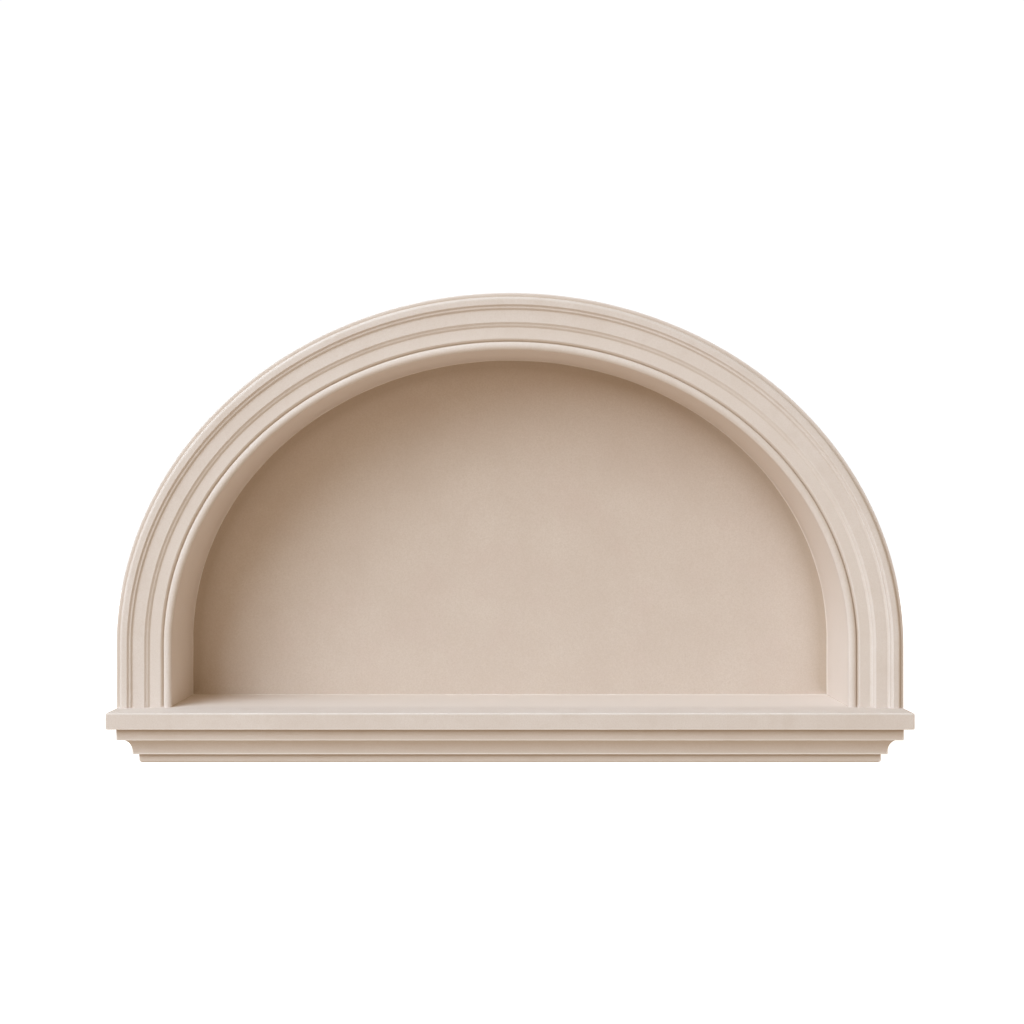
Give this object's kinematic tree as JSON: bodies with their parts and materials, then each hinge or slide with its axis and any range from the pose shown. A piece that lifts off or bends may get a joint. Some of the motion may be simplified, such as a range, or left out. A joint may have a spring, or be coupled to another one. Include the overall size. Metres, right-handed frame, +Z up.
{
  "type": "exterior wall niche",
  "caption": "Half-elliptical cast stone wall niche with a moulded arch surround, a deep reveal, a plain back panel and a moulded sill.",
  "frame": {"origin": "middle of the underside's bounding rectangle, on the surface the niche stands on", "axes": "+Z up, +X along the wall to the right as the niche is seen from the front, +Y into the wall, so the front faces -Y"},
  "size_m": [1.388, 0.279, 0.8243],
  "materials": {
    "cast_stone": "smooth matt cast limestone, warm beige",
    "panel_render": "fine-grained matt render, warm beige, slightly mottled"
  },
  "bodies": {
    "root": {"arch_surround": "cast_stone", "back_panel": "panel_render", "sill": "cast_stone"}
  },
  "joints": []
}
